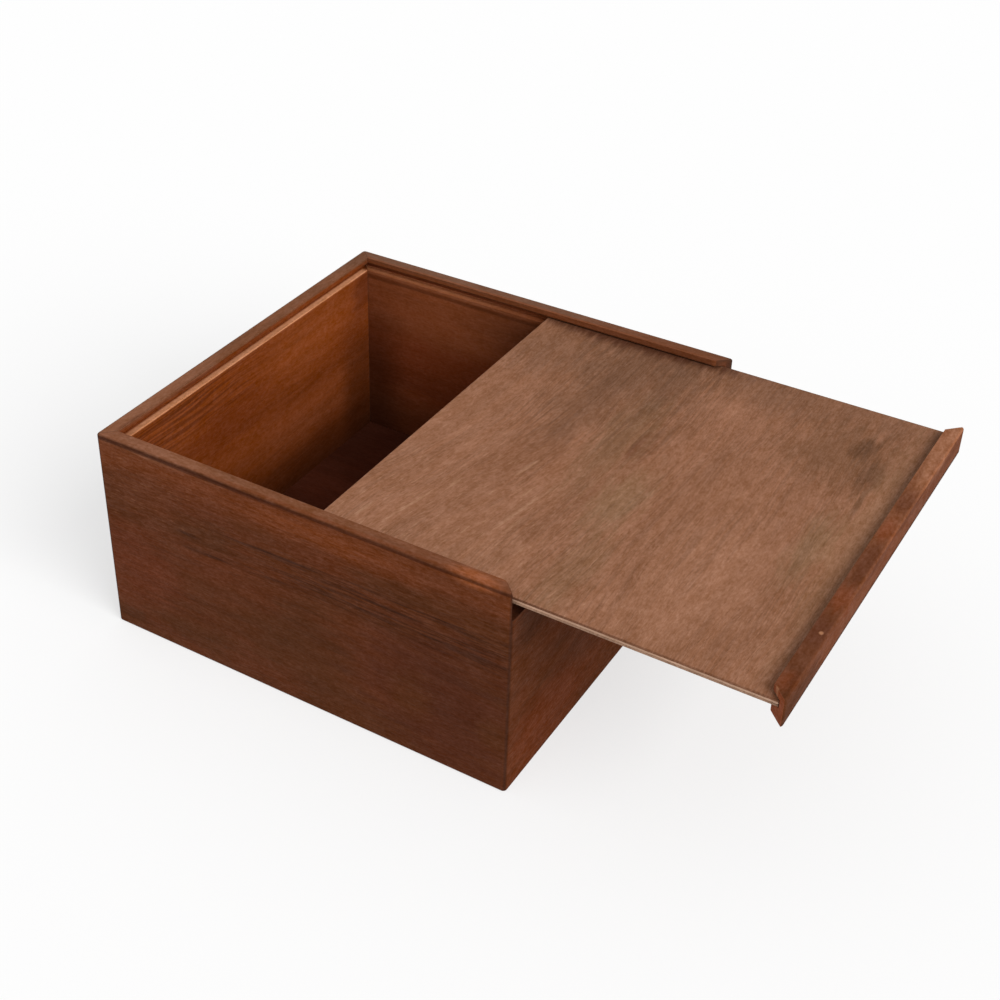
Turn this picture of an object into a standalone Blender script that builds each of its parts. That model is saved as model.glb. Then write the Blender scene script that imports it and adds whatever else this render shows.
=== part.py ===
"""Square wooden box with a lid that slides in grooves, drawn out to about half its length.

The box is designed closed. Four mitred boards stand round a thin floor, and the top of the front
board is sawn off and glued to the lid as its pull. The lid and its pull hang on one empty, which is
then drawn out along +X. Lengths are in metres. +X is the way the lid opens, +Z is up, and the
origin is at the middle of the underside.
"""

from math import pi, radians

import bmesh
import bpy
from mathutils import Matrix, Vector

# The box as a whole, measured outside
box_length = 0.2000
box_width = 0.2000
box_height = 0.1000
wall_thickness = 0.0065
arris_radius = 0.0008

# The lid's groove: the wood above it, and how far it goes into the wall
lip_height = 0.0030
groove_depth = 0.0037

# The lid, and the clearances that let it slide
lid_thickness = 0.0028
lid_seat_gap = 0.0003
lid_head_gap = 0.0005
lid_side_gap = 0.0003
lid_tail_gap = 0.0017
lid_arris = 0.0003
lid_drawn_out = 0.1042

# The pull, sawn off the top of the front board
pull_height = 0.0120
pull_saw_gap = 0.0003

# The floor, let into a rebate at the foot of the boards
floor_thickness = 0.0030
floor_let_in = 0.0033
floor_gap = 0.0003
floor_arris = 0.0003

# The glue line at each mitre, and what cuts run past the wood
mitre_gap = 0.0003
overrun = 0.0020

# The finest merge, and the facets of a rounded arris
weld_distance = 0.00001
arris_segments = 3

# Colour, roughness and metallic value of each piece
stained_dark = ((0.105, 0.034, 0.012), 0.42, 0.0)
stained_red = ((0.150, 0.045, 0.016), 0.42, 0.0)
stained_deep = ((0.060, 0.018, 0.007), 0.50, 0.0)
stained_lid = ((0.220, 0.110, 0.060), 0.55, 0.0)
stained_pull = ((0.190, 0.075, 0.040), 0.48, 0.0)

# Levels and places that follow from the sizes
half_length = box_length / 2
half_width = box_width / 2
groove_top = box_height - lip_height
groove_height = lid_seat_gap + lid_thickness + lid_head_gap
groove_floor = groove_top - groove_height
pull_foot = box_height - pull_height
front_height = pull_foot - pull_saw_gap
rebate_height = floor_thickness + floor_gap
lid_foot = groove_floor + lid_seat_gap


def clear_scene():
    for old in list(bpy.data.objects):
        bpy.data.objects.remove(old, do_unlink=True)


def new_collection(name):
    collection = bpy.data.collections.new(name)
    bpy.context.scene.collection.children.link(collection)
    return collection


def finish(name, look):
    """A Principled material with one piece's colour, roughness and metallic value."""
    colour, roughness, metallic = look
    material = bpy.data.materials.new(name)
    material.use_nodes = True
    shader = material.node_tree.nodes["Principled BSDF"]
    shader.inputs["Base Color"].default_value = (*colour, 1.0)
    shader.inputs["Roughness"].default_value = roughness
    shader.inputs["Metallic"].default_value = metallic
    material.diffuse_color = (*colour, 1.0)
    return material


def as_mesh(curve_object):
    """The mesh of a flat, extruded curve, with its caps welded on."""
    bpy.context.view_layer.update()
    evaluated = curve_object.evaluated_get(bpy.context.evaluated_depsgraph_get())
    mesh = bpy.data.meshes.new_from_object(evaluated)
    name = curve_object.name
    bpy.data.objects.remove(curve_object, do_unlink=True)
    mesh.name = name
    bm = bmesh.new()
    bm.from_mesh(mesh)
    bmesh.ops.remove_doubles(bm, verts=bm.verts, dist=weld_distance)
    bmesh.ops.dissolve_limit(bm, angle_limit=radians(1), verts=bm.verts, edges=bm.edges)
    bmesh.ops.recalc_face_normals(bm, faces=bm.faces)
    bm.to_mesh(mesh)
    bm.free()
    return mesh


def extruded(name, outline, length):
    """A closed outline, drawn in X and Y, made a bar of the given length about Z = 0."""
    curve = bpy.data.curves.new(name, "CURVE")
    curve.dimensions = "2D"
    curve.fill_mode = "BOTH"
    curve.extrude = length / 2
    spline = curve.splines.new("POLY")
    spline.points.add(len(outline) - 1)
    for point, (across, up) in zip(spline.points, outline):
        point.co = (across, up, 0, 1)
    spline.use_cyclic_u = True
    drawing = bpy.data.objects.new(name, curve)
    bpy.context.scene.collection.objects.link(drawing)
    return as_mesh(drawing)


def saw_off(mesh, point, direction):
    """Cut away what lies beyond a plane, and close the cut."""
    bm = bmesh.new()
    bm.from_mesh(mesh)
    everything = bm.verts[:] + bm.edges[:] + bm.faces[:]
    cut = bmesh.ops.bisect_plane(bm, geom=everything, dist=weld_distance, plane_co=point,
                                 plane_no=direction, clear_outer=True)
    rim = [item for item in cut["geom_cut"] if isinstance(item, bmesh.types.BMEdge)]
    bmesh.ops.holes_fill(bm, edges=rim)
    bmesh.ops.recalc_face_normals(bm, faces=bm.faces)
    bm.to_mesh(mesh)
    bm.free()


def grooved_outline(foot):
    """A board's section from its foot to the top: inner face at X = 0, outer face towards -X.

    The outer face and the top are drawn oversize, because the whole box is trimmed afterwards.
    """
    outer = -wall_thickness - overrun
    top = box_height + overrun
    groove = -groove_depth
    section = [(outer, top), (outer, foot)]
    if foot == 0:
        section += rebated_foot()
    else:
        section.append((0, foot))
    section += [(0, groove_floor), (groove, groove_floor), (groove, groove_top), (0, groove_top)]
    section.append((0, top))
    return section


def plain_outline(top):
    """The section of a board without a groove, from its rebated foot to the given height."""
    outer = -wall_thickness - overrun
    return [(outer, top), (outer, 0)] + rebated_foot() + [(0, top)]


def rebated_foot():
    """The inner corner at a board's foot, cut back to take the floor."""
    return [(-floor_let_in, 0), (-floor_let_in, rebate_height), (0, rebate_height)]


def mitred_board(name, outline, side, look, collection):
    """A board on one side of the box, its ends cut at 45 degrees up to half the glue line.

    side is the outward direction: +X, -X, +Y or -Y.
    """
    along_x = side.x != 0
    reach = half_length if along_x else half_width
    run = box_width if along_x else box_length
    mesh = extruded(name, outline, run + 2 * overrun)
    # The outline's X becomes the inward direction, its Y goes up, and the bar lies along the side
    up = Vector((0, 0, 1))
    inward = -side
    mesh.transform(Matrix((inward, up, inward.cross(up))).transposed().to_4x4())
    mesh.transform(Matrix.Translation(side * (reach - wall_thickness)))
    lengthwise = Vector((0, 1, 0)) if along_x else Vector((1, 0, 0))
    half_run = run / 2
    for end in (-1, 1):
        corner = side * reach + lengthwise * (end * half_run)
        beyond = (lengthwise * end - side).normalized()
        saw_off(mesh, corner - beyond * (mitre_gap / 2), beyond)
    board = bpy.data.objects.new(name, mesh)
    collection.objects.link(board)
    mesh.materials.append(finish(name, look))
    return board


def block(name, low, high, collection):
    """A box between two corners, with its origin at its middle and no scale."""
    bpy.ops.mesh.primitive_cube_add(size=1)
    made = bpy.context.object
    made.name = name
    made.data.name = name
    size = [b - a for a, b in zip(low, high)]
    made.data.transform(Matrix.Diagonal((*size, 1)))
    made.location = [(a + b) / 2 for a, b in zip(low, high)]
    for holder in list(made.users_collection):
        holder.objects.unlink(made)
    collection.objects.link(made)
    return made


def ease(piece, radius):
    """Round every arris of a piece."""
    bevel = piece.modifiers.new("eased arrises", "BEVEL")
    bevel.width = radius
    bevel.segments = arris_segments
    bevel.limit_method = "ANGLE"
    bevel.angle_limit = pi / 4


def trimming_block(name, collection):
    """The closed box's outside with its arrises eased: what the boards are trimmed to."""
    made = block(name, (-half_length, -half_width, 0), (half_length, half_width, box_height),
                 collection)
    ease(made, arris_radius)
    made.hide_render = True
    made.display_type = "WIRE"
    return made


def trim(board, outside):
    """Leave of a board only what lies inside the trimming block."""
    cut = board.modifiers.new("trimmed outside", "BOOLEAN")
    cut.operation = "INTERSECT"
    cut.solver = "EXACT"
    cut.object = outside


def grooved_walls(parts, outside):
    section = grooved_outline(0)
    for name, side, look in (("rear_wall", (-1, 0, 0), stained_red),
                             ("left_wall", (0, -1, 0), stained_dark),
                             ("right_wall", (0, 1, 0), stained_dark)):
        trim(mitred_board(name, section, Vector(side), look, parts), outside)


def front_wall(parts, outside):
    """The front board stops under the pull, and has lost its groove with it."""
    section = plain_outline(front_height)
    trim(mitred_board("front_wall", section, Vector((1, 0, 0)), stained_red, parts), outside)


def bottom_panel(parts):
    """The floor lies flush with the feet of the boards, in their rebate."""
    inset = wall_thickness - floor_let_in + floor_gap
    reach_x = half_length - inset
    reach_y = half_width - inset
    panel = block("bottom_panel", (-reach_x, -reach_y, 0), (reach_x, reach_y, floor_thickness),
                  parts)
    panel.data.materials.append(finish("bottom_panel", stained_deep))
    ease(panel, floor_arris)


def lid_panel(parts):
    """The lid reaches into the side grooves and the pull's, and stops short of the rear one."""
    groove_x = half_length - wall_thickness + groove_depth
    groove_y = half_width - wall_thickness + groove_depth
    low = (-groove_x + lid_tail_gap, -groove_y + lid_side_gap, lid_foot)
    high = (groove_x - lid_side_gap, groove_y - lid_side_gap, lid_foot + lid_thickness)
    panel = block("lid_panel", low, high, parts)
    panel.data.materials.append(finish("lid_panel", stained_lid))
    ease(panel, lid_arris)
    return panel


def lid_pull(parts, outside):
    """The sawn-off top of the front board keeps the board's groove, which holds the lid."""
    section = grooved_outline(pull_foot)
    pull = mitred_board("lid_pull", section, Vector((1, 0, 0)), stained_pull, parts)
    trim(pull, outside)
    return pull


def hang(child, carrier):
    """Parent a piece to an empty, leaving it where it is."""
    bpy.context.view_layer.update()
    child.parent = carrier
    child.matrix_parent_inverse = carrier.matrix_world.inverted()


def build():
    clear_scene()
    parts = new_collection("sliding_lid_box")
    cutters = new_collection("cutters")
    box_outside = trimming_block("box_outside", cutters)
    grooved_walls(parts, box_outside)
    front_wall(parts, box_outside)
    bottom_panel(parts)

    # The lid slides on the line through the middle of its groove, carrying its own trimming block
    slide = bpy.data.objects.new("lid_slide", None)
    slide.empty_display_size = wall_thickness
    slide.location = (half_length, 0, groove_floor + groove_height / 2)
    parts.objects.link(slide)
    pull_outside = trimming_block("pull_outside", cutters)
    for piece in (lid_panel(parts), lid_pull(parts, pull_outside), pull_outside):
        hang(piece, slide)
    slide.location.x += lid_drawn_out
    bpy.context.view_layer.update()


build()
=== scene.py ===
"""The looks of a stained wooden box with a sliding plywood lid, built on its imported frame."""
from math import cos, radians, sin

import bpy
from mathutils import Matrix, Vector


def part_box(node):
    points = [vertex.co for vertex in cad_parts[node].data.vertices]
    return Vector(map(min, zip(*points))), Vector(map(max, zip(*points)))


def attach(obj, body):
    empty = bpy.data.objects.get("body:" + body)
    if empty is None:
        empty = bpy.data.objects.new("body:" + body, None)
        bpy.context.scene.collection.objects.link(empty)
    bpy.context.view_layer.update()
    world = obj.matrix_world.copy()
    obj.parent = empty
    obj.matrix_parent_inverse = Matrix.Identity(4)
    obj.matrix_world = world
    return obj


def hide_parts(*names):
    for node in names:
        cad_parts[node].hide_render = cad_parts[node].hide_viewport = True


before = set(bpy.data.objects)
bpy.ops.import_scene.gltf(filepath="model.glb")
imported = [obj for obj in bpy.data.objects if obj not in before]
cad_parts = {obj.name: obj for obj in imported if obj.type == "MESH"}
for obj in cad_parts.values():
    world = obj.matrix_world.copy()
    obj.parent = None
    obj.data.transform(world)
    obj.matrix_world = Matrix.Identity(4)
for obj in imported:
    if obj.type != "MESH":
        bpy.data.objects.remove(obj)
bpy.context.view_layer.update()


# Bottom panel: a thin sheet of plywood, stained dark, let into a rebate round the foot of the walls.
# It is sawn to size with its arrises rubbed down. Only its upper face shows, deep inside the box.
floor_low, floor_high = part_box("bottom_panel")
floor_arris = 0.0004
smooth_angle = radians(34)
stain_depth = 0.003


def blank(name, low, high):
    """A plain sawn piece between two corners."""
    bpy.ops.object.select_all(action="DESELECT")
    bpy.ops.mesh.primitive_cube_add(size=1, location=(low + high) / 2)
    piece = bpy.context.active_object
    piece.name = name
    piece.data.name = name
    piece.scale = high - low
    bpy.ops.object.transform_apply(location=True, rotation=True, scale=True)
    return piece


def ease(piece, wanted, radius, steps):
    """Round the arrises whose middle and direction are wanted."""
    for element in (*piece.data.vertices, *piece.data.edges, *piece.data.polygons):
        element.select = False
    points = [v.co for v in piece.data.vertices]
    for edge in piece.data.edges:
        start, end = (points[i] for i in edge.vertices)
        if (end - start).length > 0 and wanted((start + end) / 2, (end - start).normalized()):
            edge.select = True
            for i in edge.vertices:
                piece.data.vertices[i].select = True
    bpy.context.view_layer.objects.active = piece
    bpy.ops.object.mode_set(mode="EDIT")
    bpy.ops.mesh.select_mode(type="EDGE")
    bpy.ops.mesh.bevel(offset=radius, segments=steps, affect="EDGES", profile=0.5)
    bpy.ops.object.mode_set(mode="OBJECT")


def apply(piece, modifier):
    bpy.context.view_layer.objects.active = piece
    bpy.ops.object.modifier_apply(modifier=modifier.name)


def choose(piece):
    """Make a piece the only one selected, and the active one."""
    bpy.ops.object.select_all(action="DESELECT")
    piece.select_set(True)
    bpy.context.view_layer.objects.active = piece


def polish(piece):
    """Shade the eased arrises smooth and keep the flat faces flat."""
    choose(piece)
    bpy.ops.object.shade_smooth_by_angle(angle=smooth_angle)
    weights = piece.modifiers.new("flat faces", "WEIGHTED_NORMAL")
    weights.keep_sharp = True
    apply(piece, weights)


def tone(red, green, blue):
    """A colour given as a screen shows it, from 0 to 255, made linear by the sRGB curve."""
    shares = [v / 255 for v in (red, green, blue)]
    linear = [v / 12.92 if v <= 0.04045 else ((v + 0.055) / 1.055) ** 2.4 for v in shares]
    return (*linear, 1)


def add(tree, kind, inputs=(), **settings):
    """A shader node with its settings, and its inputs set or linked."""
    made = tree.nodes.new(kind)
    for key, value in settings.items():
        setattr(made, key, value)
    for key, value in dict(inputs).items():
        if isinstance(value, bpy.types.NodeSocket):
            tree.links.new(value, made.inputs[key])
        else:
            made.inputs[key].default_value = value
    return made


def maths(tree, operation, a, b=0.0, clamp=False):
    return add(tree, "ShaderNodeMath", {0: a, 1: b}, operation=operation, use_clamp=clamp).outputs[0]


def ramp(tree, value, low, high, start=0.0, end=1.0):
    """A soft step from start at low to end at high."""
    inputs = {"Value": value, "From Min": low, "From Max": high, "To Min": start, "To Max": end}
    return add(tree, "ShaderNodeMapRange", inputs, interpolation_type="SMOOTHSTEP").outputs[0]


def both(tree, *masks):
    """Where all of some masks are: their product."""
    product = masks[0]
    for mask in masks[1:]:
        product = maths(tree, "MULTIPLY", product, mask)
    return product


x_axis, y_axis, z_axis = 0, 1, 2


class StainedWood:
    """A board's finish, drawn on the board's own coordinates: grain, figure, pores and stain.

    run, across and the axis left over are the directions along, across and through the grain.
    wander is how far the grain strays sideways.
    """

    # Noise keeps within about this much of its middle value
    noise_swing = 0.25
    # A patch of stain is full up to the one share of its reach, and gone at the other
    full_share = 0.30
    gone_share = 1.30
    # How much of its hue a fleck loses, and the warm tint of what sheen the stain has
    fleck_dullness = 0.28
    sheen_tint = (1.0, 0.66, 0.45, 1)

    def __init__(self, name, run, across, seed, wander):
        self.material = bpy.data.materials.new(name)
        self.material.use_nodes = True
        self.tree = self.material.node_tree
        self.order = (run, across, x_axis + y_axis + z_axis - run - across)
        self.seed = seed
        self.place = add(self.tree, "ShaderNodeTexCoord").outputs["Object"]
        self.bent = self.place
        self.bend(across, self.sway(0.11, 0.030, wander))
        # The rims of all the patches share one raggedness
        self.ragged = self.sway(0.018, 0.0030, 1.0)

    def sway(self, run, across, reach):
        """Noise about 0 that strays by about a reach."""
        stray = maths(self.tree, "SUBTRACT", self.clouds(run, across, across, 2), 0.5)
        return maths(self.tree, "MULTIPLY", stray, reach / self.noise_swing)

    def bend(self, axis, drift):
        """Push the grain sideways along an axis."""
        shift = add(self.tree, "ShaderNodeCombineXYZ", {axis: drift}).outputs[0]
        self.bent = add(self.tree, "ShaderNodeVectorMath", {0: self.bent, 1: shift}).outputs[0]

    def along(self, axis):
        """The place along an axis, in metres."""
        return add(self.tree, "ShaderNodeSeparateXYZ", {0: self.place}).outputs[axis]

    def clouds(self, run, across, through, detail=3, roughness=0.55):
        """Noise whose clouds have these sizes along, across and through the grain."""
        self.seed += 1.37
        sizes = [0, 0, 0]
        for axis, size in zip(self.order, (run, across, through)):
            sizes[axis] = size
        place = {"Vector": self.bent, "Scale": sizes, "Location": [self.seed * size for size in sizes]}
        spread = add(self.tree, "ShaderNodeMapping", place, vector_type="TEXTURE").outputs[0]
        inputs = {"Vector": spread, "Scale": 1.0, "Detail": detail, "Roughness": roughness}
        return add(self.tree, "ShaderNodeTexNoise", inputs).outputs["Fac"]

    def patch(self, middle, half, ragged=0.35):
        """A mask of 1 at a place, fading out to a ragged rim round it."""
        inside = {"Vector": self.bent, "Location": middle, "Scale": half}
        inside = add(self.tree, "ShaderNodeMapping", inside, vector_type="TEXTURE").outputs[0]
        reach = add(self.tree, "ShaderNodeVectorMath", {0: inside}, operation="LENGTH").outputs["Value"]
        reach = maths(self.tree, "ADD", reach, maths(self.tree, "MULTIPLY", self.ragged, ragged))
        return ramp(self.tree, reach, self.full_share, self.gone_share, 1.0, 0.0)

    def paint(self, colour, strength, *places):
        """Stain some patches, each given by its middle and how far it reaches."""
        for middle, half in places:
            self.tint(self.patch(middle, half), colour, strength)

    def step(self, axis, low, high):
        """A mask that rises from 0 at low to 1 at high along an axis."""
        return ramp(self.tree, self.along(axis), low, high)

    def band(self, axis, middle, half, soft, stray=0.0):
        """A mask of 1 within half of a middle, and 0 from soft further out, along an axis."""
        place = self.along(axis)
        if stray:
            place = maths(self.tree, "ADD", place, self.sway(0.030, 0.010, stray))
        away = maths(self.tree, "ABSOLUTE", maths(self.tree, "SUBTRACT", place, middle))
        return ramp(self.tree, away, half, half + soft, 1.0, 0.0)

    def tint(self, mask, colour, strength=1.0):
        """Mix a colour in where the mask is."""
        share = maths(self.tree, "MULTIPLY", mask, strength)
        inputs = {0: share, 6: self.colour, 7: colour}
        made = add(self.tree, "ShaderNodeMix", inputs, data_type="RGBA", clamp_factor=True)
        self.colour = made.outputs[2]

    def drift(self, first, second):
        """Two tones in patches that drift along the grain."""
        self.colour = first
        self.patches = ramp(self.tree, self.clouds(0.060, 0.024, 0.024, 4), 0.36, 0.64)
        self.tint(self.patches, second)

    def shade(self, value, low, high, dark, light):
        """Scale the colour from dark where a value is low to light where it is high."""
        factor = ramp(self.tree, value, low, high, dark, light)
        inputs = {0: self.colour, "Scale": factor}
        self.colour = add(self.tree, "ShaderNodeVectorMath", inputs, operation="SCALE").outputs[0]

    def fleck(self, value, low, high, strength, where=1.0):
        """Darken and lighten the colour where a value is low and high, with little change of hue."""
        tree = self.tree
        amount = both(tree, ramp(tree, value, low, high, -strength, strength), where)
        red = add(tree, "ShaderNodeSeparateColor", {0: self.colour}).outputs[0]
        towards_grey = {0: self.fleck_dullness, 6: self.colour, 7: red}
        duller = add(tree, "ShaderNodeMix", towards_grey, data_type="RGBA").outputs[2]
        scaled = {0: duller, "Scale": amount}
        change = add(tree, "ShaderNodeVectorMath", scaled, operation="SCALE").outputs[0]
        self.colour = add(tree, "ShaderNodeVectorMath", {0: self.colour, 1: change}).outputs[0]

    def grain(self, figure, lines, fibre, pores, mottle):
        """Lay the wood's own pattern over the stain, each part with its strength."""
        tree = self.tree
        # The broad figure of the board
        self.shade(self.clouds(0.17, 0.0065, 0.020), 0.36, 0.64, 1 - figure, 1 + figure)
        # Thin dark lines that come and go
        thin = self.clouds(0.050, 0.0009, 0.004, 2, 0.6)
        where = ramp(tree, self.clouds(0.055, 0.012, 0.02, 2), 0.42, 0.62, 0.25, 1.0)
        thin_lines = maths(tree, "MULTIPLY", ramp(tree, thin, 0.42, 0.56, 1.0, 0.0), where)
        self.shade(thin_lines, 0.0, 1.0, 1 + lines * 0.35, 1 - lines)
        # The fibre: hairs along the grain, and flecks
        hairs = self.clouds(0.0042, 0.00058, 0.0012, 3, 0.65)
        self.fleck(hairs, 0.32, 0.68, fibre)
        flecks = self.clouds(0.0015, 0.00065, 0.0010, 2, 0.6)
        self.fleck(flecks, 0.34, 0.66, fibre)
        # Pores, cut through as short dark dashes
        dashes = ramp(tree, self.clouds(0.0042, 0.00030, 0.0010, 1, 0.4), 0.60, 0.74)
        self.shade(dashes, 0.0, 1.0, 1.0, 1 - pores)
        # Mottle, small and then broader
        self.fleck(self.clouds(0.0027, 0.0014, 0.0016, 2, 0.6), 0.34, 0.66, mottle)
        self.fleck(self.clouds(0.0110, 0.0042, 0.0050, 2), 0.35, 0.65, mottle * 0.8)
        # The hairs stand up, and the pores and thin lines lie deeper
        relief = maths(tree, "SUBTRACT", hairs, maths(tree, "MULTIPLY", dashes, 0.8))
        self.height = maths(tree, "SUBTRACT", relief, maths(tree, "MULTIPLY", thin_lines, 0.5))
        self.hairs = hairs

    def finish(self, piece, smooth, rough, relief, gloss):
        """Give the piece its colour, a roughness between two values, a relief in metres, and a gloss."""
        tree = self.tree
        shader = tree.nodes["Principled BSDF"]
        tree.links.new(self.colour, shader.inputs["Base Color"])
        worn = maths(tree, "ADD", self.hairs, self.clouds(0.020, 0.012, 0.012, 2))
        tree.links.new(ramp(tree, worn, 0.75, 1.25, rough, smooth), shader.inputs["Roughness"])
        bump = add(tree, "ShaderNodeBump", {"Height": self.height, "Distance": relief, "Strength": 1.0})
        tree.links.new(bump.outputs[0], shader.inputs["Normal"])
        shader.inputs["Specular IOR Level"].default_value = gloss
        shader.inputs["Specular Tint"].default_value = self.sheen_tint
        piece.data.materials.clear()
        piece.data.materials.append(self.material)


floor_panel = blank("floor_plywood", floor_low, floor_high)
ease(floor_panel, lambda middle, way: True, floor_arris, 3)
polish(floor_panel)
floor_wood = StainedWood("floor_plywood", run=x_axis, across=y_axis, seed=4.2, wander=0.002)
floor_wood.drift(tone(84, 41, 27), tone(74, 35, 22))
# It is darkest in the far corner at the closed end, painted shade of that deep corner
floor_wood.paint(tone(56, 27, 18), 0.45, ((-0.085, 0.085, floor_high.z), (0.050, 0.045, stain_depth)))
floor_wood.grain(figure=0.04, lines=0.06, fibre=0.04, pores=0.06, mottle=0.04)
floor_wood.finish(floor_panel, smooth=0.50, rough=0.70, relief=0.00005, gloss=0.03)
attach(floor_panel, "box")
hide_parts("bottom_panel")


# Left wall: a mitred board of stained wood, with a groove ploughed near its top for the lid and a
# rebate at its foot for the floor. Its outside is sanded with the rest of the glued-up box.
box_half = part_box("right_wall")[1].y
box_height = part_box("left_wall")[1].z
wall_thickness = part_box("front_wall")[1].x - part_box("front_wall")[0].x
lip_height = 0.0030
groove_height = 0.0036
groove_depth = 0.0037
rebate_depth = 0.0032
rebate_height = floor_high.z + 0.0001
spare = 0.002
outer_arris = 0.0010
upright_arris = 0.0018
inner_arris = 0.00045
worn_corner = 0.0016
tolerance = 0.000005
groove_top = box_height - lip_height
groove_floor = groove_top - groove_height
inside = box_half - wall_thickness
spare_top = box_height + spare


def cut(piece, low, high):
    """Plough a rectangular channel out of a piece."""
    cutter = blank("cutter", low, high)
    channel = piece.modifiers.new("channel", "BOOLEAN")
    channel.operation = "DIFFERENCE"
    channel.object = cutter
    apply(piece, channel)
    bpy.data.objects.remove(cutter, do_unlink=True)


def saw(piece, point, direction):
    """Saw a piece through at a plane, and lose what lies beyond it."""
    choose(piece)
    bpy.ops.object.mode_set(mode="EDIT")
    bpy.ops.mesh.select_all(action="SELECT")
    bpy.ops.mesh.bisect(plane_co=point, plane_no=direction, use_fill=True, clear_outer=True)
    bpy.ops.object.mode_set(mode="OBJECT")


def wall_board(name, side, foot, top, grooved=True, rebated=True, play=0.0):
    """A mitred board on one side of the closed box, from foot to top, before it is sanded.

    play is how far its ends stay back from the mitres' planes.
    """
    along = Vector((abs(side.y), abs(side.x), 0))
    reach = box_half + spare

    def corners(near, far, low, high):
        ends = [near - along * reach, far + along * reach]
        low_corner = Vector([min(a, b) for a, b in zip(*ends)])
        high_corner = Vector([max(a, b) for a, b in zip(*ends)])
        low_corner.z, high_corner.z = low, high
        return low_corner, high_corner

    clear = side * (inside - spare)
    board = blank(name, *corners(side * inside, side * reach, foot, top))
    if grooved:
        cut(board, *corners(clear, side * (inside + groove_depth), groove_floor, groove_top))
    if rebated:
        cut(board, *corners(clear, side * (inside + rebate_depth), -spare, rebate_height))

    def inner_long(middle, way):
        above_rebate = middle.z > spare * 2
        return above_rebate and abs(way.dot(along)) > 0.9 and middle.dot(side) < inside + inner_arris

    ease(board, inner_long, inner_arris, 3)
    for end in (-1, 1):
        beyond = (along * end - side).normalized()
        corner = (side + along * end) * box_half
        saw(board, corner - beyond * play, beyond)
    return board


def sand(piece):
    """Leave of a board what lies inside the closed box's outside, with its arrises rounded."""
    reach = Vector((box_half, box_half, 0))
    outside = blank("sanded_outside", -reach, reach + Vector((0, 0, box_height)))
    ease(outside, lambda middle, way: abs(way.z) > 0.9, upright_arris, 7)

    def round_top_or_foot(middle, way):
        return abs(way.z) < 0.1 and min(middle.z, box_height - middle.z) < tolerance

    ease(outside, round_top_or_foot, outer_arris, 5)
    sanded = piece.modifiers.new("sanded", "BOOLEAN")
    sanded.operation = "INTERSECT"
    sanded.object = outside
    apply(piece, sanded)
    bpy.data.objects.remove(outside, do_unlink=True)


def wear_end(piece, side):
    """Round the inner corner where a side wall's lip ends at the open front."""

    def lip_corner(middle, way):
        at_inside = abs(middle.dot(side) - inside) < inner_arris * 2
        at_end = middle.x > inside - wall_thickness and middle.z > groove_top
        return abs(way.z) > 0.9 and at_inside and at_end

    ease(piece, lip_corner, worn_corner, 5)
    # The rounding leaves slivers where it runs out, which are merged away
    bpy.ops.object.mode_set(mode="EDIT")
    bpy.ops.mesh.select_all(action="SELECT")
    bpy.ops.mesh.remove_doubles(threshold=tolerance)
    bpy.ops.mesh.dissolve_degenerate(threshold=tolerance)
    bpy.ops.object.mode_set(mode="OBJECT")


def opposite(tree, mask):
    """1 where a mask is 0, and 0 where it is 1."""
    return maths(tree, "SUBTRACT", 1.0, mask)


class WallFinish(StainedWood):
    """The finish of one wall: its outside, inside and top are stained and worn differently."""

    # How deep the stain of the outside, the rim and the inside is full, and where it is gone
    outside_full, outside_gone = 0.0018, 0.0030
    rim_full, rim_gone = 0.0004, 0.0012
    inner_full, inner_gone = 0.0010, 0.0016
    # How far grime reaches in from the uprights, the rim's outer arris and the mitres, and how strongly
    upright_full, upright_gone, upright_grime = 0.0007, 0.0017, 0.75
    arris_full, arris_gone, arris_grime = 0.0003, 0.0011, 0.45
    mitre_full, mitre_gone, mitre_grime = 0.00008, 0.00030, 0.60

    def __init__(self, name, side, seed, wander):
        run, self.through = (y_axis, x_axis) if side.x else (x_axis, y_axis)
        super().__init__(name, run, z_axis, seed, wander)
        self.sign = side[self.through]
        self.outside = self.outward(box_half - self.outside_gone, box_half - self.outside_full)
        self.rim = self.step(z_axis, box_height - self.rim_gone, box_height - self.rim_full)
        past_inside = self.outward(inside + self.inner_full, inside + self.inner_gone)
        self.inner = opposite(self.tree, past_inside)
        self.reach = maths(self.tree, "ABSOLUTE", self.along(run))

    def out(self):
        """How far out a place is from the box's middle, towards this wall."""
        return maths(self.tree, "MULTIPLY", self.along(self.through), self.sign)

    def outward(self, low, high):
        """A mask that rises from 0 at low to 1 at high, measured out from the box's middle."""
        return ramp(self.tree, self.out(), low, high)

    def stain(self, out_a, out_b, in_a, in_b, rim_a, rim_b):
        """Two tones in drifting patches for the outside, the inside and the top."""
        self.drift(in_a, in_b)
        for zone, first, second in ((self.outside, out_a, out_b), (self.rim, rim_a, rim_b)):
            self.tint(zone, first)
            self.tint(both(self.tree, zone, self.patches), second)

    def handle(self, grime):
        """Darken what hands and time have: the upright arrises, the rim's outer one, and the mitres."""
        tree = self.tree
        upright = ramp(tree, self.reach, box_half - self.upright_gone, box_half - self.upright_full)
        self.tint(both(tree, upright, self.outside), grime, self.upright_grime)
        top_arris = self.outward(box_half - self.arris_gone, box_half - self.arris_full)
        self.tint(both(tree, top_arris, self.rim), grime, self.arris_grime)
        from_mitre = maths(tree, "SUBTRACT", self.out(), self.reach)
        mitre = ramp(tree, from_mitre, self.mitre_full, self.mitre_gone, 1.0, 0.0)
        self.tint(mitre, grime, self.mitre_grime)


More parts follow.
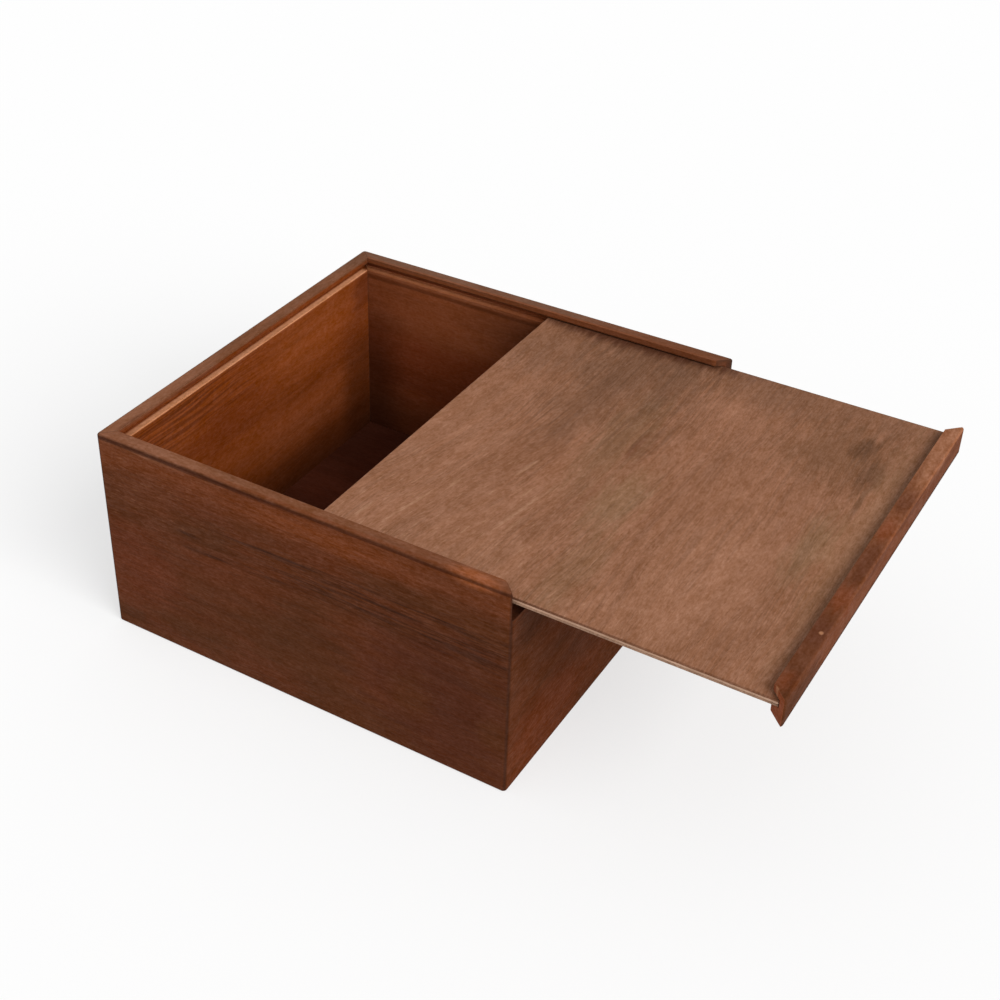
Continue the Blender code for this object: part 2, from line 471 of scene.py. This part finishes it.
left_side = Vector((0, -1, 0))
left_board = wall_board("left_board", left_side, 0, spare_top)
sand(left_board)
wear_end(left_board, left_side)
polish(left_board)
left_wood = WallFinish("left_board", left_side, seed=1.3, wander=0.0015)
left_tree = left_wood.tree
left_wood.stain(tone(84, 45, 24), tone(90, 46, 25), tone(116, 58, 28), tone(126, 62, 29),
                tone(111, 67, 45), tone(119, 74, 50))


def on_left(x, z, half_x, half_z):
    """A place on the left wall's face, and how far a patch there reaches."""
    return (x, -box_half, z), (half_x, stain_depth, half_z)


def on_rim(x, y, half_x, half_y):
    """A place on top of the walls, and how far a patch there reaches."""
    return (x, y, box_height), (half_x, half_y, stain_depth)


# The stain took redder at the rear end, and browner and darker in clouds towards the front
left_wood.paint(tone(97, 47, 26), 0.60, on_left(-0.083, 0.036, 0.024, 0.024))
left_wood.paint(tone(96, 52, 31), 0.65, on_left(-0.078, 0.082, 0.026, 0.018))
left_wood.paint(tone(74, 42, 22), 0.55, on_left(-0.055, 0.014, 0.034, 0.008),
                on_left(-0.045, 0.068, 0.022, 0.009), on_left(0.004, 0.030, 0.030, 0.026),
                on_left(0.050, 0.080, 0.022, 0.008), on_left(-0.095, 0.006, 0.020, 0.007))
left_wood.paint(tone(74, 37, 23), 0.70, on_left(0.072, 0.034, 0.044, 0.040))
left_wood.paint(tone(84, 45, 21), 0.60, on_left(0.056, 0.030, 0.012, 0.012),
                on_left(0.094, 0.028, 0.008, 0.010))
# Under the rim it is warmer, where hands have rubbed it, and browner at the open end
under_rim = left_wood.band(z_axis, 0.0940, 0.0020, 0.0110, 0.0030)
left_wood.tint(both(left_tree, under_rim, left_wood.outside), tone(110, 57, 30), 0.66)
left_wood.paint(tone(118, 61, 31), 0.50, on_left(0.010, 0.091, 0.034, 0.007))
left_wood.paint(tone(90, 49, 30), 0.55, on_left(0.082, 0.092, 0.034, 0.008))
# The rim is paler at both ends
left_wood.paint(tone(154, 88, 54), 0.70, on_rim(0.084, -box_half, 0.012, 0.008))
left_wood.paint(tone(136, 90, 66), 0.60, on_rim(-0.080, -box_half, 0.044, 0.010))
# Grime and shade fill the end of the groove
left_wood.paint(tone(34, 17, 10), 0.80, ((box_half - 0.002, -inside - 0.002, groove_floor + 0.0018),
                                         (0.008, 0.004, 0.0034)))
# Dark growth rings run along the upper middle of the face, and some of them are broken
ring_lines = ramp(left_tree, left_wood.clouds(0.030, 0.00075, 0.004, 2, 0.6), 0.40, 0.52, 1.0, 0.0)
ring_zone = both(left_tree, left_wood.band(z_axis, 0.0685, 0.0040, 0.0080), left_wood.outside,
                 left_wood.step(x_axis, -0.065, 0.020))
left_wood.tint(both(left_tree, ring_lines, ring_zone), tone(56, 31, 20), 0.62)
broken = ramp(left_tree, left_wood.clouds(0.010, 0.0012, 0.002, 2, 0.6), 0.38, 0.58, 0.40, 1.0)
for middle, half in (on_left(-0.012, 0.0732, 0.034, 0.0008), on_left(0.062, 0.0637, 0.052, 0.0009),
                     on_left(-0.043, 0.0596, 0.013, 0.0008), on_left(0.074, 0.0748, 0.040, 0.0008),
                     on_left(0.042, 0.0697, 0.018, 0.0009), on_left(-0.010, 0.0598, 0.008, 0.0008),
                     on_left(-0.054, 0.0668, 0.007, 0.0008)):
    left_wood.tint(both(left_tree, left_wood.patch(middle, half), broken), tone(54, 30, 20), 0.70)
# A dark line runs along the rim's outer arris, broad at the rear and fine at the front
rim_line = left_wood.band(z_axis, box_height - 0.0010, 0.00035, 0.00055, 0.0003)
rim_line_rear = both(left_tree, left_wood.band(z_axis, box_height - 0.0014, 0.00060, 0.00060, 0.0003),
                     left_wood.step(x_axis, 0.040, -0.040))
for line in (rim_line, rim_line_rear):
    left_wood.tint(both(left_tree, line, left_wood.outside), tone(58, 25, 12), 0.66)
# The fibres stand up a little along the upper part, and pale ones show at the rear end
rough_part = both(left_tree, left_wood.band(z_axis, 0.074, 0.012, 0.016), left_wood.outside)
left_wood.fleck(left_wood.clouds(0.0080, 0.0012, 0.002, 2, 0.6), 0.36, 0.64, 0.09, rough_part)
pale_fibre = ramp(left_tree, left_wood.clouds(0.0060, 0.0008, 0.002, 1), 0.60, 0.74)
pale_end = both(left_tree, left_wood.step(x_axis, -0.020, -0.070), left_wood.step(z_axis, 0.040, 0.075))
left_wood.tint(both(left_tree, pale_fibre, pale_end, left_wood.outside), tone(132, 84, 56), 0.35)
left_wood.handle(tone(56, 32, 22))
left_wood.grain(figure=0.05, lines=0.08, fibre=0.065, pores=0.10, mottle=0.075)
left_wood.finish(left_board, smooth=0.42, rough=0.60, relief=0.00006, gloss=0.03)
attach(left_board, "box")
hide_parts("left_wall")


# Right wall: the left wall's twin on the far side, cut from the same length of board.
# It is grooved, rebated and mitred alike, and its inside shows below the rim.
right_side = Vector((0, 1, 0))
right_board = wall_board("right_board", right_side, 0, spare_top)
sand(right_board)
wear_end(right_board, right_side)
polish(right_board)
right_wood = WallFinish("right_board", right_side, seed=7.7, wander=0.003)
right_tree = right_wood.tree
right_wood.stain(tone(82, 44, 24), tone(90, 46, 26), tone(136, 74, 43), tone(144, 79, 47),
                 tone(105, 69, 50), tone(111, 75, 56))
# A redder stripe runs along the middle of its inside
redder = both(right_tree, right_wood.band(z_axis, 0.044, 0.010, 0.016, 0.004), right_wood.inner)
right_wood.tint(redder, tone(126, 58, 30), 0.65)
# Painted shade darkens the inside towards the foot, and up the corner that the rear wall makes
foot_shade = both(right_tree, right_wood.inner, right_wood.step(z_axis, 0.034, 0.000))
right_wood.tint(foot_shade, tone(80, 40, 22), 0.55)
corner = both(right_tree, right_wood.inner, right_wood.step(x_axis, -0.064, -0.088),
              right_wood.step(z_axis, 0.096, 0.036))
right_wood.tint(corner, tone(60, 29, 16), 0.70)
high_up = both(right_tree, right_wood.inner, right_wood.step(x_axis, -0.050, -0.005),
               right_wood.step(z_axis, 0.064, 0.088))
right_wood.tint(high_up, tone(92, 50, 30), 0.60)
# The lip over the groove is redder, and its lower arris is darkened with painted shade
lip_face = both(right_tree, right_wood.inner, right_wood.step(z_axis, groove_top - 0.0002, groove_top))
right_wood.tint(lip_face, tone(124, 70, 41), 0.72)
lip_arris_shade = both(right_tree, right_wood.inner, right_wood.band(z_axis, groove_top + 0.0002, 0.0003, 0.0005))
right_wood.tint(lip_arris_shade, tone(56, 26, 12), 0.60)
# The lower side of the groove is pale, partly bare wood and partly a painted highlight; its arris is rubbed
# pale with a painted highlight, and a dark line lies below it
ledge_bare_and_highlit = both(right_tree, right_wood.band(z_axis, groove_floor, 0.0003, 0.0003),
             right_wood.outward(inside + 0.0003, inside + 0.0010), right_wood.step(x_axis, 0.010, -0.060),
             opposite(right_tree, right_wood.outside))
right_wood.tint(ledge_bare_and_highlit, tone(196, 124, 82), 0.85)
rubbed_and_highlit = both(right_tree, right_wood.band(z_axis, groove_floor - 0.0004, 0.0006, 0.0010, 0.0002),
              right_wood.inner, right_wood.step(x_axis, 0.010, -0.040))
right_wood.tint(rubbed_and_highlit, tone(150, 94, 64), 0.42)
dark_line = right_wood.band(z_axis, groove_floor - 0.0030, 0.0004, 0.0012, 0.0003)
right_wood.tint(both(right_tree, dark_line, right_wood.inner), tone(78, 38, 18), 0.55)
# The rim is redder towards the open end
right_wood.paint(tone(114, 66, 41), 0.70, on_rim(0.075, box_half - 0.005, 0.060, 0.005))
right_wood.handle(tone(66, 46, 36))
right_wood.grain(figure=0.05, lines=0.06, fibre=0.045, pores=0.06, mottle=0.045)
right_wood.finish(right_board, smooth=0.42, rough=0.60, relief=0.00004, gloss=0.03)
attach(right_board, "box")
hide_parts("right_wall")


# Rear wall: the same board across the closed end. Its inside took the stain thinly and is orange,
# and the lower side of its groove is pale, partly bare wood and partly a painted highlight.
rear_side = Vector((-1, 0, 0))
rear_board = wall_board("rear_board", rear_side, 0, spare_top)
sand(rear_board)
polish(rear_board)
rear_wood = WallFinish("rear_board", rear_side, seed=2.9, wander=0.003)
rear_tree = rear_wood.tree
rear_wood.stain(tone(84, 45, 24), tone(90, 46, 26), tone(116, 55, 22), tone(125, 61, 26),
                tone(112, 70, 46), tone(123, 78, 54))


def on_rear(y, z, half_y, half_z):
    """A place on the rear wall's inner face, and how far a patch there reaches."""
    return (-inside, y, z), (stain_depth, half_y, half_z)


rear_wood.paint(tone(134, 69, 34), 0.55, on_rear(-0.058, 0.082, 0.016, 0.016),
                on_rear(0.040, 0.078, 0.040, 0.020))
rear_wood.paint(tone(102, 45, 18), 0.60, on_rear(-0.020, 0.064, 0.034, 0.014))
# A paler band above the foot is painted light falling through the open top; the foot and the wall beside
# the far corner are darkened with painted shade
painted_light_band = both(rear_tree, rear_wood.inner, rear_wood.band(z_axis, 0.037, 0.005, 0.014, 0.003),
             rear_wood.band(y_axis, 0.034, 0.014, 0.036))
rear_wood.tint(painted_light_band, tone(148, 79, 45), 0.42)
foot_shade = both(rear_tree, rear_wood.inner, rear_wood.step(z_axis, 0.032, 0.002))
rear_wood.tint(foot_shade, tone(60, 30, 17), 0.62)
far_corner_shade = both(rear_tree, rear_wood.inner, rear_wood.band(y_axis, 0.084, 0.0045, 0.016),
              rear_wood.step(z_axis, 0.094, 0.030))
rear_wood.tint(far_corner_shade, tone(64, 29, 14), 0.56)
# Fine dark lines of the grain show at the near end, high up
fine_lines = ramp(rear_tree, rear_wood.clouds(0.070, 0.0010, 0.004, 1, 0.5), 0.38, 0.54, 1.0, 0.0)
lined = both(rear_tree, rear_wood.inner, rear_wood.step(z_axis, 0.066, 0.078),
             rear_wood.step(y_axis, 0.030, -0.030))
rear_wood.tint(both(rear_tree, fine_lines, lined), tone(74, 31, 14), 0.55)
# Painted shade darkens the top of the far corner
rear_wood.paint(tone(86, 41, 24), 0.55, on_rear(0.089, 0.084, 0.010, 0.014))
# The lower side of the groove is pale, partly bare wood and partly a painted highlight, and its arris is
# rubbed pale with a painted highlight
bare_ledge_and_highlight = both(rear_tree, rear_wood.band(z_axis, groove_floor, 0.00025, 0.0003),
                  opposite(rear_tree, rear_wood.outward(inside + 0.0022, inside + 0.0036)),
                  rear_wood.step(y_axis, 0.0945, 0.0910),
                  ramp(rear_tree, rear_wood.along(y_axis), -0.092, -0.070, 0.7, 1.0))
rear_wood.tint(bare_ledge_and_highlight, tone(212, 148, 108), 0.85)
ledge_arris_rubbed_and_highlit = both(rear_tree, rear_wood.inner,
                   rear_wood.step(z_axis, groove_floor + 0.0001, groove_floor - 0.0003),
                   rear_wood.step(z_axis, groove_floor - 0.0014, groove_floor - 0.0004))
rear_wood.tint(ledge_arris_rubbed_and_highlit, tone(150, 88, 54), 0.45)
# The rim is paler at the near end and darker at the far one
rear_wood.paint(tone(138, 92, 68), 0.50, on_rim(-box_half, -0.070, 0.010, 0.045))
rear_wood.paint(tone(98, 66, 48), 0.60, on_rim(-box_half, 0.092, 0.010, 0.026))
rear_wood.handle(tone(62, 40, 30))
rear_wood.grain(figure=0.05, lines=0.09, fibre=0.050, pores=0.07, mottle=0.055)
rear_wood.finish(rear_board, smooth=0.42, rough=0.60, relief=0.00004, gloss=0.03)
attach(rear_board, "box")
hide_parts("rear_wall")


# Front wall: the board at the open end. It went round with the others, and its top was then sawn
# off as the lid's pull, so it stands lower and has a sawn upper edge.
front_side = Vector((1, 0, 0))
front_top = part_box("front_wall")[1].z
front_board = wall_board("front_board", front_side, 0, front_top, grooved=False)
sand(front_board)
polish(front_board)
front_wood = WallFinish("front_board", front_side, seed=5.1, wander=0.003)
front_wood.stain(tone(78, 41, 21), tone(86, 44, 23), tone(112, 52, 25), tone(124, 60, 28),
                 tone(100, 62, 44), tone(112, 72, 54))


def on_front(y, z, half_y, half_z):
    """A place on the front wall's outside, and how far a patch there reaches."""
    return (box_half, y, z), (stain_depth, half_y, half_z)


# By the near corner it is painted redder at the foot, as light reaching under the lid, and duller at the
# top, as painted shade of the lid
front_wood.paint(tone(92, 44, 21), 0.70, on_front(-0.070, 0.012, 0.040, 0.024))
front_wood.paint(tone(70, 41, 27), 0.70, on_front(-0.082, 0.078, 0.022, 0.010))
# The saw left its upper edge rough, and it is painted dark, partly stain it drank up and partly painted
# shade under the lid
sawn_top_stain_and_shade = front_wood.step(z_axis, front_top - 0.0005, front_top - 0.0001)
front_wood.tint(sawn_top_stain_and_shade, tone(66, 37, 25), 0.85)
front_wood.handle(tone(56, 32, 22))
front_wood.grain(figure=0.06, lines=0.08, fibre=0.070, pores=0.10, mottle=0.080)
front_wood.finish(front_board, smooth=0.50, rough=0.70, relief=0.00006, gloss=0.008)
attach(front_board, "box")
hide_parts("front_wall")


# Lid panel: a sheet of three-ply whose face grain runs across the box. The two face veneers are
# stained, and the pale core shows as a line along the sawn edges.
lid_low, lid_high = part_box("lid_panel")
veneer = 0.0009
core_set_back = Vector((0.00012, 0.00012, 0))
lid_arris = 0.00022
edge_depth = 0.0005
edge_fade = 0.0003


def sheet(name, low, high):
    """One layer of the plywood, its arrises barely broken."""
    layer = blank(name, low, high)
    ease(layer, lambda middle, way: True, lid_arris, 2)
    polish(layer)
    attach(layer, "lid")
    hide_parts("lid_panel")
    return layer


def sawn_edges(wood):
    """A mask of a layer's edges in the side walls' grooves."""
    return opposite(wood.tree, wood.band(y_axis, 0.0, lid_high.y - edge_depth, edge_fade))


veneer_rise = Vector((0, 0, veneer))
face_veneer = sheet("face_veneer", lid_low + Vector((0, 0, lid_high.z - lid_low.z - veneer)), lid_high)
core_low = lid_low + veneer_rise + core_set_back
core_veneer = sheet("core_veneer", core_low, lid_high - veneer_rise - core_set_back)
back_veneer = sheet("back_veneer", lid_low, Vector((lid_high.x, lid_high.y, lid_low.z + veneer)))

face_wood = StainedWood("face_veneer", run=y_axis, across=x_axis, seed=8.4, wander=0.0025)
face_tree = face_wood.tree
# The grain leans over towards the near left of the sheet
lean_reach = 0.016
lean = both(face_tree, face_wood.step(y_axis, 0.020, -0.093),
            face_wood.step(x_axis, 0.130, 0.030), lean_reach)
face_wood.bend(x_axis, lean)
face_wood.drift(tone(145, 100, 75), tone(138, 94, 69))


def on_lid(x, y, half_x, half_y):
    """A place on the lid's upper face, and how far a patch there reaches."""
    return (x, y, lid_high.z), (half_x, half_y, stain_depth)


# Olive and brown clouds in the stain, a darker one by the pull, and an olive strip along it
face_wood.paint(tone(118, 81, 59), 0.65, on_lid(0.067, 0.060, 0.036, 0.055),
                on_lid(0.024, 0.072, 0.022, 0.030), on_lid(0.130, 0.090, 0.090, 0.022))
face_wood.paint(tone(106, 74, 54), 0.48, on_lid(0.058, 0.074, 0.024, 0.030),
                on_lid(0.084, 0.074, 0.012, 0.026))
face_wood.paint(tone(112, 78, 57), 0.24, on_lid(0.058, 0.040, 0.016, 0.032))
face_wood.paint(tone(156, 110, 84), 0.45, on_lid(0.150, -0.050, 0.024, 0.056),
                on_lid(0.088, -0.080, 0.014, 0.022))
face_wood.paint(tone(120, 88, 62), 0.50, on_lid(0.084, 0.016, 0.012, 0.046),
                on_lid(0.112, -0.070, 0.008, 0.034))
face_wood.paint(tone(132, 100, 73), 0.60, on_lid(0.104, -0.022, 0.010, 0.028),
                on_lid(0.178, -0.010, 0.008, 0.030))
face_wood.paint(tone(124, 81, 56), 0.45, on_lid(0.062, -0.016, 0.016, 0.022),
                on_lid(0.130, -0.062, 0.004, 0.014))
face_wood.paint(tone(98, 56, 37), 0.50, on_lid(0.0925, 0.015, 0.0020, 0.013))
face_wood.paint(tone(102, 69, 46), 0.56, on_lid(0.166, 0.057, 0.030, 0.028))
face_wood.paint(tone(80, 52, 33), 0.55, on_lid(0.173, 0.066, 0.006, 0.010),
                on_lid(0.182, 0.047, 0.005, 0.014), on_lid(0.184, 0.026, 0.0014, 0.012))
face_wood.paint(tone(140, 102, 74), 0.42, on_lid(0.193, 0.005, 0.010, 0.090))
# Painted shadow darkens the lid under the far wall's lip, with some grime
face_wood.paint(tone(96, 64, 47), 0.50, on_lid(0.054, 0.0950, 0.064, 0.0130))
face_wood.paint(tone(70, 40, 27), 0.80, on_lid(0.054, 0.0955, 0.060, 0.0068))
face_wood.paint(tone(76, 42, 27), 0.50, on_lid(0.046, 0.0948, 0.058, 0.0080))
# Fine dark lines of the grain in the olive clouds, and leaning ones at the near side
fine_lines = ramp(face_tree, face_wood.clouds(0.026, 0.0008, 0.002, 2, 0.6), 0.40, 0.52, 1.0, 0.0)
far_part = both(face_tree, face_wood.step(y_axis, -0.020, 0.030),
                face_wood.band(x_axis, 0.070, 0.026, 0.014))
near_part = both(face_tree, face_wood.step(y_axis, -0.025, -0.060),
                 face_wood.band(x_axis, 0.112, 0.014, 0.012))
for lined, strength in ((far_part, 0.34), (near_part, 0.24)):
    face_wood.tint(both(face_tree, fine_lines, lined), tone(88, 58, 40), strength)
# Pale fibres that the sander raised, long ones and short
face_wood.paint(tone(174, 132, 104), 0.42, on_lid(0.048, -0.068, 0.0007, 0.014),
                on_lid(0.079, -0.046, 0.0009, 0.018), on_lid(0.064, -0.020, 0.0007, 0.008),
                on_lid(0.052, -0.046, 0.0008, 0.005), on_lid(0.036, -0.081, 0.0008, 0.006),
                on_lid(0.083, -0.058, 0.0007, 0.007), on_lid(0.074, -0.036, 0.0007, 0.006))
pale = ramp(face_tree, face_wood.clouds(0.0085, 0.0008, 0.002, 1), 0.60, 0.76)
pale_zone = both(face_tree, face_wood.step(y_axis, 0.040, -0.040), face_wood.step(x_axis, 0.170, 0.080))
face_wood.tint(both(face_tree, pale, pale_zone), tone(172, 130, 102), 0.42)
# Its sawn edges drank up the stain, most of all near the box
fading = ramp(face_tree, face_wood.along(x_axis), 0.090, 0.180, 1.0, 0.55)
dark_edge = both(face_tree, sawn_edges(face_wood), fading)
face_wood.tint(dark_edge, tone(88, 54, 37), 0.80)
face_wood.grain(figure=0.04, lines=0.09, fibre=0.075, pores=0.08, mottle=0.068)
face_wood.finish(face_veneer, smooth=0.55, rough=0.75, relief=0.00006, gloss=0.08)

core_wood = StainedWood("core_veneer", run=x_axis, across=y_axis, seed=2.2, wander=0.001)
core_wood.drift(tone(190, 154, 130), tone(178, 141, 118))
core_wood.grain(figure=0.06, lines=0.12, fibre=0.06, pores=0.08, mottle=0.05)
core_wood.finish(core_veneer, smooth=0.60, rough=0.80, relief=0.00006, gloss=0.12)

back_wood = StainedWood("back_veneer", run=y_axis, across=x_axis, seed=6.1, wander=0.003)
back_wood.drift(tone(124, 90, 70), tone(112, 80, 62))
# Its sawn edges stayed nearly as pale as the core
back_wood.tint(sawn_edges(back_wood), tone(152, 120, 99), 0.85)
back_wood.grain(figure=0.06, lines=0.12, fibre=0.07, pores=0.08, mottle=0.06)
back_wood.finish(back_veneer, smooth=0.55, rough=0.75, relief=0.00006, gloss=0.12)


# Pull: the strip sawn off the top of the front wall, with its lip and groove. It is glued over the
# lid's front edge and travels with the lid.
pull_low, pull_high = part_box("lid_pull")
pull_travel = pull_high.x - box_half
pull_play = 0.00002
pull_stain_depth = 0.006
pull_strip = wall_board("pull_strip", front_side, pull_low.z, spare_top, rebated=False, play=pull_play)
sand(pull_strip)
choose(pull_strip)
bpy.ops.transform.translate(value=(pull_travel, 0, 0))
bpy.ops.object.transform_apply(location=True, rotation=True, scale=True)
polish(pull_strip)
pull_wood = StainedWood("pull_strip", run=y_axis, across=z_axis, seed=3.6, wander=0.003)
pull_tree = pull_wood.tree
pull_wood.drift(tone(103, 60, 39), tone(96, 54, 34))
pull_top = pull_wood.step(z_axis, box_height - WallFinish.rim_gone, box_height - WallFinish.rim_full)
# Its top is paler towards the far end
pull_wood.tint(pull_top, tone(101, 60, 40))
pull_wood.tint(both(pull_tree, pull_top, pull_wood.step(y_axis, -0.06, 0.09)), tone(140, 88, 60), 0.8)


def on_pull(y, half_y, across=0.0033, half_x=0.0040):
    """A place on the pull's top, and how far a patch there reaches."""
    return (pull_high.x - across, y, box_height), (half_x, half_y, pull_stain_depth)


# Darker and redder places take turns along its top, and a pale one lies by the far end
pull_wood.paint(tone(84, 46, 31), 0.50, on_pull(-0.060, 0.012), on_pull(-0.012, 0.018),
                on_pull(0.034, 0.010))
pull_wood.paint(tone(126, 66, 40), 0.50, on_pull(-0.038, 0.010), on_pull(0.012, 0.010),
                on_pull(-0.090, 0.006))
pull_wood.paint(tone(168, 116, 87), 0.60, on_pull(0.078, 0.034))
# The outside is browner at the near tip and darker along its lower arris
pull_wood.paint(tone(66, 34, 15), 0.80, ((pull_high.x, -0.096, pull_low.z + 0.005), (0.004, 0.034, 0.010)))
pull_wood.tint(pull_wood.band(z_axis, pull_low.z + 0.0004, 0.0005, 0.0010), tone(58, 34, 24), 0.60)
# The mitred ends are painted lighter and redder, painted light where they face away from the lamp
half_run = maths(pull_tree, "ABSOLUTE", pull_wood.along(y_axis))
mitre_place = maths(pull_tree, "ADD", half_run, pull_travel)
past_mitre = maths(pull_tree, "SUBTRACT", pull_wood.along(x_axis), mitre_place)
pull_wood.tint(ramp(pull_tree, past_mitre, 0.00005, 0.00012, 1.0, 0.0), tone(146, 80, 54), 0.75)
# A chip at the near tip, and a speck of bare wood further along
pull_wood.paint(tone(190, 138, 106), 0.75, on_pull(-0.0966, 0.0022, 0.0054, 0.0014),
                on_pull(-0.0599, 0.0010, 0.0028, 0.0008))
pull_wood.grain(figure=0.08, lines=0.08, fibre=0.070, pores=0.08, mottle=0.080)
pull_wood.finish(pull_strip, smooth=0.50, rough=0.68, relief=0.00004, gloss=0.008)
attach(pull_strip, "lid")
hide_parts("lid_pull")


# Stage: a sheet of white paper, a soft white surround, and one broad lamp above to the right.
# None of it belongs to the box.
paper_size = 12
paper_white = (0.96, 0.96, 0.96, 1)
paper_glow = 0.6
bpy.ops.object.select_all(action="DESELECT")
bpy.ops.mesh.primitive_plane_add(size=paper_size, location=(0, 0, 0))
stage_floor = bpy.context.active_object
stage_floor.name = "stage_floor"
paper = bpy.data.materials.new("white_paper")
paper.use_nodes = True
paper_shader = paper.node_tree.nodes["Principled BSDF"]
paper_shader.inputs["Base Color"].default_value = paper_white
paper_shader.inputs["Roughness"].default_value = 0.9
paper_shader.inputs["Specular IOR Level"].default_value = 0.0
stage_floor.data.materials.append(paper)

surround_light = 0.53
seen_white = 1.0
world = bpy.data.worlds.new("surround")
bpy.context.scene.world = world
world.use_nodes = True
sky = world.node_tree
background = sky.nodes["Background"]
background.inputs["Color"].default_value = (1, 1, 1, 1)


def is_seen(tree):
    """1 for a ray that the camera, or something glossy or clear, looks along."""
    path = add(tree, "ShaderNodeLightPath").outputs
    mirrored = maths(tree, "ADD", path["Is Glossy Ray"], path["Is Transmission Ray"])
    return maths(tree, "ADD", path["Is Camera Ray"], mirrored, clamp=True)


level = {"Value": is_seen(sky), "To Min": surround_light, "To Max": seen_white}
sky.links.new(add(sky, "ShaderNodeMapRange", level).outputs[0], background.inputs["Strength"])

# The paper is seen whiter than it is lit, which keeps the box's shadow on it but makes it faint
paper_tree = paper.node_tree
white = add(paper_tree, "ShaderNodeEmission", {"Color": (1, 1, 1, 1), "Strength": seen_white})
share = maths(paper_tree, "MULTIPLY", is_seen(paper_tree), paper_glow)
layers = {0: share, 1: paper_shader.outputs[0], 2: white.outputs[0]}
seen_paper = add(paper_tree, "ShaderNodeMixShader", layers)
paper_tree.links.new(seen_paper.outputs[0], paper_tree.nodes["Material Output"].inputs["Surface"])

lamp_height = radians(34)
lamp_side = radians(-18)
lamp_data = bpy.data.lights.new("broad_lamp", "SUN")
lamp_data.energy = 2.75
lamp_data.angle = radians(42)
lamp = bpy.data.objects.new("broad_lamp", lamp_data)
lamp_way = Vector((cos(lamp_side), sin(lamp_side), 0)) * cos(lamp_height) + Vector((0, 0, sin(lamp_height)))
lamp.rotation_euler = lamp_way.to_track_quat("Z", "Y").to_euler()
bpy.context.scene.collection.objects.link(lamp)


# Camera: to the right of the near corner and well above the rim, at the picture's viewing angle.
# The small shift puts the box where the picture has it.
camera_data = bpy.data.cameras.new("camera")
camera_data.lens = 58.43
camera_data.sensor_width = 36
camera_data.shift_x = 0.080
camera_data.shift_y = -0.045
camera = bpy.data.objects.new("camera", camera_data)
camera.location = (0.31632, -0.50580, 0.46987)
camera.rotation_euler = [radians(v) for v in (56.0735, -0.0995, 32.3509)]
bpy.context.scene.collection.objects.link(camera)
bpy.context.scene.camera = camera
bpy.context.scene.view_settings.view_transform = "Standard"
